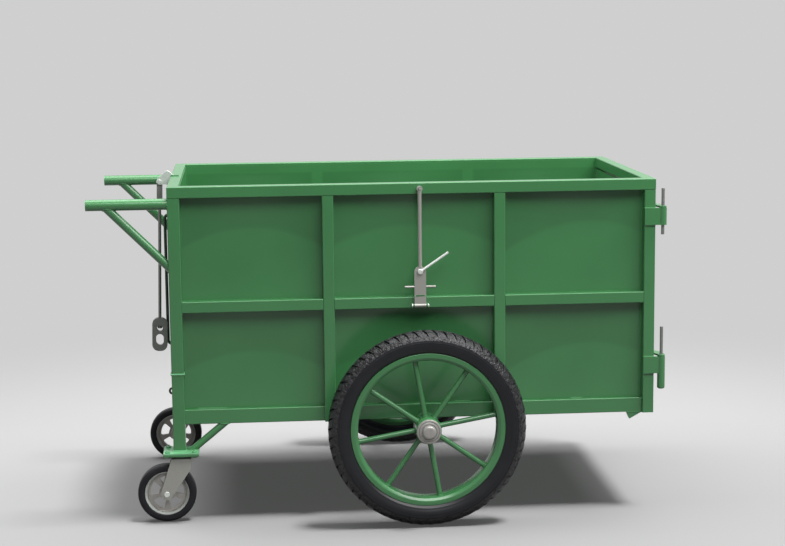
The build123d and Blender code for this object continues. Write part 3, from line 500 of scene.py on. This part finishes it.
class CART_OT_wheels(bpy.types.Operator):
    """Build the rolled rims, the hubs, their caps and the welds on the spokes' ends"""

    bl_idname = "cart.wheels"
    bl_label = "Rims and hubs"

    def execute(self, context):
        for name, side in SIDES.items():
            hub = middle("wheel_tyre_" + name)
            body = "wheel_" + name
            bm = bmesh.new()
            spun(bm, eased(RIM), hub, steps=128)
            keep(bm, "rim_" + name, body, "green_paint", "wheel_rim_" + name)
            bm = bmesh.new()
            spun(bm, eased(HUB), hub, side, steps=64)
            keep(bm, "hub_" + name, body, "green_paint", "wheel_hub_" + name)
            bm = bmesh.new()
            spun(bm, eased(HUB_CAP), hub, side, steps=64, closed=False)
            keep(bm, "cap_" + name, body, "hub_grey", "hub_cap_" + name)
            bm = bmesh.new()
            for k in range(SPOKES):
                angle = FIRST_SPOKE + tau * k / SPOKES
                along = Vector((cos(angle), 0, sin(angle)))
                for reach in SPOKE_WELDS:
                    weld(bm, ring(hub + along * reach * MM, along, SPOKE_WELD_ROUND * MM), closed=True)
            keep(bm, "spoke_welds_" + name, body, "green_paint")
        return {"FINISHED"}


def ring(centre, along, radius, stretch=1.0):
    """Points of a circle square to a direction, stretched one way for a pipe cut at a slant."""
    other = along.cross(FORWARD).normalized()
    count = max(12, round(tau * radius / bpy.context.scene.cart_shapes.ripple))
    turns = [tau * k / count for k in range(count)]
    return [centre + radius * (FORWARD * cos(t) + other * stretch * sin(t)) for t in turns]


def run(*corners):
    """Points along straight runs, one ripple apart."""
    step = bpy.context.scene.cart_shapes.ripple
    points = []
    for start, end in zip(corners, corners[1:]):
        count = max(1, round((end - start).length / step))
        points += [start.lerp(end, k / count) for k in range(count)]
    return points + [corners[-1]]


# Sides of a bead, and the width of its waist against its swell
BEAD_SIDES, BEAD_WAIST = 7, 0.8


def weld(bm, path, radius=None, closed=False):
    """Lay a rippled bead of weld along a path, with a waist at every other point."""
    radius = radius or bpy.context.scene.cart_shapes.weld
    count = len(path)
    ahead = []
    for k in range(count):
        before = path[k - 1] if closed or k else path[0]
        after = path[(k + 1) % count] if closed or k < count - 1 else path[-1]
        ahead.append((after - before).normalized())
    turn = ahead[0].to_track_quat("Z", "Y")
    last = Matrix.Translation(path[0]) @ turn.to_matrix().to_4x4()
    first = bmesh.ops.create_circle(bm, segments=BEAD_SIDES, radius=radius, matrix=last)["verts"]
    edges = list({edge for vert in first for edge in vert.link_edges})
    start = edges
    for k in range(1, count):
        turn = ahead[k - 1].rotation_difference(ahead[k]) @ turn
        swell = BEAD_WAIST if k % 2 else 1.0
        spot = Matrix.Translation(path[k]) @ turn.to_matrix().to_4x4() @ Matrix.Scale(swell, 4)
        made = bmesh.ops.extrude_edge_only(bm, edges=edges)["geom"]
        verts = [item for item in made if isinstance(item, bmesh.types.BMVert)]
        bmesh.ops.transform(bm, matrix=spot @ last.inverted(), verts=verts)
        edges = [item for item in made if isinstance(item, bmesh.types.BMEdge) and item.is_boundary]
        last = spot
    if closed:
        bmesh.ops.bridge_loops(bm, edges=start + edges)
    else:
        bmesh.ops.edgeloop_fill(bm, edges=start)
        bmesh.ops.edgeloop_fill(bm, edges=edges)
    bmesh.ops.recalc_face_normals(bm, faces=bm.faces[:])


# Edges that bend more than the first are rounded, and faces that bend less than the second become one
SHARP_OVER, FLAT_UNDER = radians(40), radians(0.5)


def softened(node, name, body, slot, soft=None, looks=None, shape=None):
    """Stand in for a solid with a copy whose sharp edges are rounded."""
    bm = bmesh.new()
    bm.from_mesh(frame["nodes"][node].data)
    bmesh.ops.remove_doubles(bm, verts=bm.verts[:], dist=0.005 * MM)
    bmesh.ops.dissolve_limit(bm, angle_limit=FLAT_UNDER, verts=bm.verts[:], edges=bm.edges[:])
    if shape:
        shape(bm)
    sharp = [edge for edge in bm.edges if edge.is_manifold and edge.calc_face_angle() > SHARP_OVER]
    bmesh.ops.bevel(
        bm, geom=sharp, offset=soft or bpy.context.scene.cart_shapes.soft_edge, segments=2, profile=0.5,
        affect="EDGES", clamp_overlap=True, material=-1,
    )
    piece = keep(bm, name, body, slot, node, looks=looks)
    piece.modifiers.new("flat_faces", "WEIGHTED_NORMAL").keep_sharp = True
    return piece


CASTER_TYRE = [(90, -22, 12), (90, 22, 12), (70.5, 21, 2), (68.2, 18, 0), (68.2, -18, 0), (70.5, -21, 2)]
# Rounds on the edges of a caster's core and of its axle's heads
CORE_SOFT, AXLE_HEAD_SOFT = 0.8 * MM, 2.4 * MM
# A caster core's rim: its inner radius, half its width, the depth of its slope, and a slack for finding its verts
RIM_LIP, RIM_HALF, RIM_SLOPE, RIM_SLACK = 60.0 * MM, 18.0 * MM, 8.4 * MM, 1.0 * MM


def draw_in_rim(bm):
    """Slope a caster core's rim in towards its web, and give the slope the second finish."""
    low = Vector([min(vert.co[k] for vert in bm.verts) for k in range(3)])
    high = Vector([max(vert.co[k] for vert in bm.verts) for k in range(3)])
    centre = (low + high) / 2
    rim = (high.x - low.x) / 2
    edge = RIM_HALF - RIM_SLACK
    flats = [face for face in bm.faces if abs(face.calc_center_median().y - centre.y) > edge]
    bmesh.ops.triangulate(bm, faces=flats)
    for vert in bm.verts:
        arm = vert.co - centre
        reach = Vector((arm.x, 0, arm.z)).length
        if RIM_LIP - RIM_SLACK < reach < rim - RIM_SLACK and abs(arm.y) > edge:
            vert.co.y -= RIM_SLOPE if arm.y > 0 else -RIM_SLOPE
    # The sloped rim takes the near-white zinc, partly a painted highlight
    for face in bm.faces:
        arm = face.calc_center_median() - centre
        if abs(arm.y) > edge - RIM_SLOPE and Vector((arm.x, 0, arm.z)).length > RIM_LIP:
            face.material_index = 1


class CART_OT_casters(bpy.types.Operator):
    """Build the caster tyres and round the edges of the casters' metal parts"""

    bl_idname = "cart.casters"
    bl_label = "Casters"

    def execute(self, context):
        for name in SIDES:
            bm = bmesh.new()
            spun(bm, eased(CASTER_TYRE, steps=6), middle("caster_tyre_" + name), steps=96)
            keep(bm, "solid_tyre_" + name, "caster_wheel_" + name, "caster_rubber", "caster_tyre_" + name)
            softened(
                "caster_core_" + name, "core_" + name, "caster_wheel_" + name, "cast_core", CORE_SOFT,
                looks=("cast_core", "bright_steel"), shape=draw_in_rim,
            )
            softened("caster_fork_" + name, "fork_" + name, "caster_" + name, "bare_steel")
            # The axle heads take the near-white zinc, partly a painted highlight
            softened(
                "caster_axle_" + name, "caster_bolt_" + name, "caster_" + name, "bare_steel", AXLE_HEAD_SOFT,
                looks=("bright_steel",),
            )
        return {"FINISHED"}


HARDWARE = (
    "latch_bar", "latch_base", "latch_lever", "latch_stud", "end_bracket", "end_rod", "swivel_link", "hinge_straps",
    "hinge_pins", "foot_plates", "caster_plates", "caster_bolts", "caster_kingpins", "gate_eyes", "bolt_keeper",
    "bolt_guides", "gate_bolt", "tipping_lugs", "axle_brackets", "axle_nuts",
)
# Rounds and finishes of the fittings that differ from the rest
SOFT = {"swivel_link": 3.2 * MM, "end_bracket": 2 * MM, "end_rod": 2 * MM}
LOOKS = {
    # The lighter green on the foot plates and caster bolts is painted light
    "foot_plates": ("lit_green_paint",), "caster_bolts": ("lit_green_paint",), "latch_lever": ("bright_steel",),
    # The near-white zinc on the end bracket and the latch pin heads is partly painted highlight
    "end_bracket": ("bright_steel", "green_paint"), "latch_base": ("bright_steel", "green_paint"),
    "end_rod": ("dull_steel",), "swivel_link": ("dull_steel",), "hinge_pins": ("dull_steel",),
}
# How far in from the cart's end the strap's paint starts, and the width of a head of the latch pin
STRAP_MARGIN, PIN_HEAD = 3 * MM, 4.2 * MM


def strap_reach():
    """Where the end bracket's strap lies on the top rail."""
    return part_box("handle_end_frame")[0][0] + STRAP_MARGIN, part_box("end_bracket")[1][0]


def base_reach():
    """Where the side latch's base lies on the mid rail, between the heads of its pin."""
    low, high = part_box("latch_base")
    return low[0] + PIN_HEAD, high[0] - PIN_HEAD


PAINTED = {"end_bracket": strap_reach, "latch_base": base_reach}


def paint_between(mesh, start, end):
    """Give the second finish to the faces between two places along the cart."""
    for face in mesh.polygons:
        if start < face.center.x < end:
            face.material_index = 1


class CART_OT_hardware(bpy.types.Operator):
    """Round the edges of the latch, the hanging rod, its link and the other small fittings"""

    bl_idname = "cart.hardware"
    bl_label = "Hardware"

    def execute(self, context):
        slots = {part["node"]: part["material_slot"] for part in frame["record"]["subparts"]}
        for body, nodes in frame["record"]["behaviour"]["bodies"].items():
            for node in nodes:
                if node in HARDWARE:
                    piece = softened(node, node + "_soft", body, slots[node], SOFT.get(node), LOOKS.get(node))
                    if node in PAINTED:
                        paint_between(piece.data, *PAINTED[node]())
        return {"FINISHED"}


def bays():
    """Where the three bays of a side start and end along the cart, between its posts."""
    rail_low, rail_high = box_of("mid_rails")
    post_low, post_high = box_of("side_posts")
    tube = rail_high.z - rail_low.z
    return (rail_low.x, post_low.x), (post_low.x + tube, post_high.x - tube), (post_high.x, rail_high.x)


def square(centre, half):
    """The corners of a level square, with the first one again at the end."""
    steps = ((-1, -1), (1, -1), (1, 1), (-1, 1), (-1, -1))
    return [centre + Vector((half * x, half * y, 0)) for x, y in steps]


# Radii of the beads, in millimetres: on the legs, between tubes, and of the tacks along the floor
LEG_BEAD, TUBE_BEAD, TACK_BEAD = 3.4, 2, 2.8
# Where the tacks start and end along the cart, in millimetres
TACKS = ((-568, -478), (-60, -10), (230, 280), (597, 634))
# What the beads follow: radius of a handle brace, radius and half the slanting cut of a leg brace
BRACE_ROUND, STRUT_ROUND, STRUT_HALF = 13.5 * MM, 11 * MM, 17.4 * MM
# Thickness of a lug, width of a hinge strap, distance from one strap to the other, round of a tube's corner
LUG_PLATE, STRAP_WIDTH, STRAP_SPACING, CORNER_ROUND = 6 * MM, 53 * MM, 467 * MM, 3 * MM
# A pipe that meets a face at 45 degrees is cut this much longer than it is wide
SLANT = 2 ** 0.5


class CART_OT_welds(bpy.types.Operator):
    """Lay the weld beads that join the frame, the handles, the legs and the fittings"""

    bl_idname = "cart.welds"
    bl_label = "Weld beads"

    def execute(self, context):
        bm, leg_bm = bmesh.new(), bmesh.new()
        handle_low, handle_high = box_of("handles")
        post_x = handle_high.x
        handle_round = (handle_high.z - handle_low.z) / 2
        handle_z = handle_low.z + handle_round
        brace_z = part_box("handle_braces")[0][2] + BRACE_ROUND * SLANT
        leg_low, leg_high = box_of("legs")
        leg_half = (leg_high.x - leg_low.x) / 2
        rail_low, rail_high = box_of("mid_rails")
        sill_high = Vector(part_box("bottom_rails")[1])
        strut_low, strut_high = box_of("leg_braces")
        strut_ends = ((strut_low.x + STRUT_HALF, strut_low.z), (strut_high.x - STRUT_HALF, strut_high.z))
        lug_low, lug_high = box_of("tipping_lugs")
        tube = rail_high.z - rail_low.z
        for side in SIDES.values():
            pipe_y = side * (handle_high.y - handle_round)
            weld(bm, ring(Vector((post_x, pipe_y, handle_z)), RIGHT, handle_round), closed=True)
            foot = Vector((post_x, pipe_y, brace_z))
            weld(bm, ring(foot, RIGHT, BRACE_ROUND, SLANT), closed=True)
            saddle = []
            for point in ring(Vector((0, 0, 0)), RIGHT, BRACE_ROUND):
                sag = (handle_round ** 2 - point.y ** 2) ** 0.5
                drop = handle_z - brace_z - sag
                saddle.append(Vector((post_x - drop + point.z * SLANT, pipe_y + point.y, handle_z - sag)))
            weld(bm, saddle, closed=True)
            leg_y = side * (leg_high.y - leg_half)
            for height in (leg_low.z, leg_high.z):
                path = run(*square(Vector((post_x + leg_half, leg_y, height)), leg_half))
                weld(leg_bm, path[:-1], LEG_BEAD * MM, closed=True)
            into = side * (rail_high.y - tube)
            for x in [x for bay in bays() for x in bay]:
                for outer, height in (
                    (rail_high.y, rail_low.z), (rail_high.y, rail_high.z), (sill_high.y, sill_high.z),
                ):
                    out = side * (outer - CORNER_ROUND)
                    weld(bm, run(Vector((x, out, height)), Vector((x, into, height))), TUBE_BEAD * MM)
            for start, end in TACKS:
                path = run(Vector((start * MM, into, sill_high.z)), Vector((end * MM, into, sill_high.z)))
                weld(bm, path, TACK_BEAD * MM)
            for x, height in strut_ends:
                spot = Vector((x, side * (strut_high.y - STRUT_ROUND), height))
                weld(bm, ring(spot, UP, STRUT_ROUND, STRUT_HALF / STRUT_ROUND), closed=True)
            for y in (lug_high.y, lug_high.y - LUG_PLATE):
                path = run(Vector((lug_low.x, side * y, lug_high.z)), Vector((lug_high.x, side * y, lug_high.z)))
                weld(bm, path, TUBE_BEAD * MM)
        strap_low, strap_high = box_of("hinge_straps")
        for top in (strap_high.z, strap_high.z - STRAP_SPACING):
            for height in (top, top - STRAP_WIDTH):
                start = Vector((strap_low.x, rail_low.y, height))
                weld(bm, run(start, start + tube * RIGHT), TUBE_BEAD * MM)
        keep(bm, "frame_welds", "cart", "green_paint")
        # The leg welds take the lighter green: painted light
        keep(leg_bm, "leg_welds", "cart", "green_paint", looks=("lit_green_paint",))
        return {"FINISHED"}


# Arcs of painted shade in a bay, dark above and clear below, as shares of its width and height: their tops, their
# fall and their soft edge
ARC_SHADE_PEAKS, ARC_SHADE_CRESTS = (0.5, 0.5, 0.62), (0.575, 0.69)
ARC_SHADE_FALL, ARC_SHADE_SOFT = 0.75, 0.06
# The dish is deepest above the middle of a bay and flat beside the tubes
DISH_RISE, DISH_FLAT = 1.5, 1.3
PANEL_CELLS = (190, 92)


class CART_OT_panels(bpy.types.Operator):
    """Draw the side panels in a little between the tubes, as welded sheet is, and mark where painted shade falls
    above an arc in each bay
    """

    bl_idname = "cart.panels"
    bl_label = "Side panels"

    def execute(self, context):
        dish = context.scene.cart_shapes.dish
        rail_low, rail_high = box_of("mid_rails")
        columns = bays()
        rows = ((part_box("bottom_rails")[1][2], rail_low.z), (rail_high.z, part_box("top_rails")[0][2]))
        for name, side in SIDES.items():
            node = "side_sheet_" + name
            low, high = box_of(node)
            size, centre = high - low, (low + high) / 2
            outer = high.y if side > 0 else low.y
            bm = bmesh.new()
            bmesh.ops.create_grid(bm, x_segments=PANEL_CELLS[0], y_segments=PANEL_CELLS[1], size=0.5)
            turn = Matrix.Rotation(radians(90), 4, "X")
            bmesh.ops.transform(bm, matrix=turn, verts=bm.verts[:])
            bmesh.ops.scale(bm, vec=(size.x, 1, size.z), verts=bm.verts[:])
            bmesh.ops.translate(bm, vec=(centre.x, outer, centre.z), verts=bm.verts[:])
            # Painted shade: one below the arc in each bay, falling to zero above it
            arc = bm.verts.layers.float.new("arc")
            for vert in bm.verts:
                vert[arc] = 1.0
                for (left, right), peak in zip(columns, ARC_SHADE_PEAKS):
                    for (bottom, top), crest in zip(rows, ARC_SHADE_CRESTS):
                        across = (vert.co.x - left) / (right - left)
                        up = (vert.co.z - bottom) / (top - bottom)
                        if 0 < across < 1 and 0 < up < 1:
                            bulge = (sin(pi * across) * sin(pi * up ** DISH_RISE)) ** DISH_FLAT
                            vert.co.y -= side * dish * bulge
                            line = crest - ARC_SHADE_FALL * (across - peak) ** 2
                            share = min(1.0, max(0.0, (line - up) / ARC_SHADE_SOFT + 0.5))
                            vert[arc] = share * share * (3 - 2 * share)
            faces = bm.faces[:]
            bmesh.ops.recalc_face_normals(bm, faces=faces)
            if faces[0].normal.y * side < 0:
                bmesh.ops.reverse_faces(bm, faces=faces)
            bmesh.ops.solidify(bm, geom=faces, thickness=size.y)
            keep(bm, "panel_" + name, "cart", "green_paint", node, looks=("arc_shaded_paint",))
        return {"FINISHED"}


def stage_light(name, kind, power, place, target, size=None, angle=None):
    """A lamp at a place, turned towards a target."""
    lamp = bpy.data.lights.new(name, kind)
    lamp.energy = power
    if size:
        lamp.shape = "RECTANGLE"
        lamp.size, lamp.size_y = size
    if angle:
        lamp.angle = angle
    obj = bpy.data.objects.new(name, lamp)
    obj.location = place
    obj.rotation_euler = (Vector(target) - Vector(place)).to_track_quat("-Z", "Y").to_euler()
    bpy.context.scene.collection.objects.link(obj)
    return obj


def seen_directly(tree):
    """One where the camera, a glossy face or glass looks, and zero for light that spreads."""
    path = add_node(tree, "LightPath").outputs
    first = add_node(tree, "Math", {0: path["Is Camera Ray"], 1: path["Is Glossy Ray"]}, operation="MAXIMUM")
    both = {0: first.outputs[0], 1: path["Is Transmission Ray"]}
    return add_node(tree, "Math", both, operation="MAXIMUM").outputs[0]


# The share of its tone that the floor throws back at the cart, and of the backdrop's tone that lifts the shadow
FLOOR_BOUNCE, SHADOW_LIFT = 0.25, 0.09
# How far off, in metres, the paper starts to fade and is lost in the backdrop
FADE_START, FADE_END = 1.5, 3.6
# Where along Y, in metres, the floor in front starts and is full in a darker tone seen only by glossy faces, and
# that tone's share of the backdrop's: a painted reflection
DARK_MIRROR_START, DARK_MIRROR_END, DARK_MIRROR_TONE = -3.6, -8.0, 0.22
FLOOR_HALF = 30.0
# Light from all round: its strength at the horizon, its strength overhead, and the height where that starts
FILL_LOW, FILL_HIGH, FILL_HEIGHT = 0.45, 0.06, 0.35
SOFTBOX = (6.0, 2.4)


def floor_paper():
    """Matt studio paper near the cart, fading into the even tone of the backdrop further off.

    It throws only a share of its tone back at the cart, and its shadow is lifted a little. Far in front of the paper
    it shows glossy faces a darker tone than the camera sees: a painted reflection.
    """
    stage = bpy.context.scene.cart_stage
    material, tree, output = new_material("studio_paper")
    direct = seen_directly(tree)
    tone = add_node(tree, "MixRGB", {0: direct, 1: shade(stage.floor, FLOOR_BOUNCE), 2: shade(stage.floor, 1.0)})
    paper = add_node(tree, "BsdfDiffuse", {"Color": tone.outputs["Color"]})
    even = add_node(tree, "Emission", {"Color": tuple(stage.backdrop) + (1.0,)})
    place = add_node(tree, "TexCoord").outputs["Object"]
    away = add_node(tree, "VectorMath", {0: place}, operation="LENGTH")
    fade = add_node(tree, "MapRange", {
        "Value": away.outputs["Value"], "From Min": FADE_START, "From Max": FADE_END, "To Min": SHADOW_LIFT,
    }, interpolation_type="SMOOTHSTEP")
    share = add_node(tree, "Math", {0: fade.outputs["Result"], 1: direct}, operation="MULTIPLY")
    mixed = add_node(tree, "MixShader", {
        0: share.outputs[0], 1: paper.outputs["BSDF"], 2: even.outputs["Emission"],
    })
    # Painted reflection: glossy faces alone see the far floor in front at this darker tone
    dark_mirror = add_node(tree, "Emission", {"Color": shade(stage.backdrop, DARK_MIRROR_TONE)})
    depth = add_node(tree, "SeparateXYZ", {0: place}).outputs["Y"]
    before = add_node(tree, "MapRange", {"Value": depth, "From Min": DARK_MIRROR_START, "From Max": DARK_MIRROR_END})
    glossy = add_node(tree, "LightPath").outputs["Is Glossy Ray"]
    seen = add_node(tree, "Math", {0: before.outputs["Result"], 1: glossy}, operation="MULTIPLY")
    ground = add_node(tree, "MixShader", {
        0: seen.outputs[0], 1: mixed.outputs["Shader"], 2: dark_mirror.outputs["Emission"],
    })
    tree.links.new(ground.outputs["Shader"], output.inputs["Surface"])
    return material


class CART_OT_stage(bpy.types.Operator):
    """Lay the floor, hang the lamps and stand the camera"""

    bl_idname = "cart.stage"
    bl_label = "Stage"

    def execute(self, context):
        scene, stage = context.scene, context.scene.cart_stage
        bm = bmesh.new()
        bmesh.ops.create_grid(bm, x_segments=8, y_segments=8, size=FLOOR_HALF)
        mesh = bpy.data.meshes.new("floor")
        bm.to_mesh(mesh)
        bm.free()
        floor = bpy.data.objects.new("floor", mesh)
        scene.collection.objects.link(floor)
        mesh.materials.append(floor_paper())

        world = bpy.data.worlds.new("studio")
        world.use_nodes = True
        scene.world = world
        tree = world.node_tree
        tree.nodes.clear()
        even = add_node(tree, "Background", {"Color": tuple(stage.backdrop) + (1.0,), "Strength": 1.0})
        height = add_node(tree, "SeparateXYZ", {0: add_node(tree, "TexCoord").outputs["Generated"]}).outputs["Z"]
        low = add_node(tree, "MapRange", {
            "Value": height, "From Min": 0.0, "From Max": FILL_HEIGHT, "To Min": FILL_LOW, "To Max": FILL_HIGH,
        })
        fill = add_node(tree, "Background", {"Color": (1.0, 1.0, 1.0, 1.0), "Strength": low.outputs["Result"]})
        mixed = add_node(tree, "MixShader", {
            0: seen_directly(tree), 1: fill.outputs["Background"], 2: even.outputs["Background"],
        })
        output = add_node(tree, "OutputWorld")
        tree.links.new(mixed.outputs["Shader"], output.inputs["Surface"])

        sun = stage_light("key_sun", "SUN", 3.2, (1.6, -0.4, 6.0), (0.0, 0.0, 0.0), angle=radians(12))
        sun.visible_glossy = False
        stage_light("top_softbox", "AREA", 200.0, (0.2, 0.6, 3.6), (0.2, 0.4, 0.6), size=SOFTBOX)
        front = stage_light("front_softbox", "AREA", 325.0, (1.7, -3.2, 4.4), (0.1, 0.0, 0.6), size=SOFTBOX)
        # The front box lights the cart alone, so that the floor keeps the shadow of the sun and the top box
        flagged = bpy.data.collections.new("flagged_off_front_softbox")
        flagged.objects.link(floor)
        flagged.collection_objects[0].light_linking.link_state = "EXCLUDE"
        front.light_linking.receiver_collection = flagged

        camera = bpy.data.cameras.new("camera")
        camera.sensor_width = 36.0
        camera.sensor_fit = "HORIZONTAL"
        camera.lens = stage.lens
        eye = bpy.data.objects.new("camera", camera)
        eye.location = stage.place
        eye.rotation_euler = stage.turn
        scene.collection.objects.link(eye)
        scene.camera = eye
        scene.view_settings.view_transform = "Standard"
        return {"FINISHED"}


class CART_PT_panel(bpy.types.Panel):
    """Lists the cart's settings and operators"""

    bl_label = "Trash push cart"
    bl_idname = "CART_PT_panel"
    bl_space_type = "VIEW_3D"
    bl_region_type = "UI"
    bl_category = "Cart"

    def draw(self, context):
        for operator in OPERATORS:
            self.layout.operator(operator.bl_idname)
        for name in GROUPS:
            group = getattr(context.scene, name)
            box = self.layout.box()
            for field in group.bl_rna.properties.keys():
                if field not in ("rna_type", "name"):
                    box.prop(group, field)


GROUPS = {"cart_finishes": CartFinishes, "cart_shapes": CartShapes, "cart_stage": CartStage}
OPERATORS = (
    CART_OT_finishes, CART_OT_tyres, CART_OT_wheels, CART_OT_casters, CART_OT_hardware, CART_OT_welds,
    CART_OT_panels, CART_OT_stage,
)


def register():
    """Register the settings, operators and panel."""
    for group in GROUPS.values():
        bpy.utils.register_class(group)
    for name, group in GROUPS.items():
        setattr(bpy.types.Scene, name, bpy.props.PointerProperty(type=group))
    for operator in OPERATORS:
        bpy.utils.register_class(operator)
    bpy.utils.register_class(CART_PT_panel)


def unregister():
    """Take everything off again."""
    bpy.utils.unregister_class(CART_PT_panel)
    for operator in reversed(OPERATORS):
        bpy.utils.unregister_class(operator)
    for name, group in GROUPS.items():
        delattr(bpy.types.Scene, name)
        bpy.utils.unregister_class(group)


def main():
    """Dress the cart: register the settings, operators and panel, and run every operator."""
    register()
    for operator in OPERATORS:
        group, name = operator.bl_idname.split(".")
        getattr(getattr(bpy.ops, group), name)()


if __name__ == "__main__":
    main()
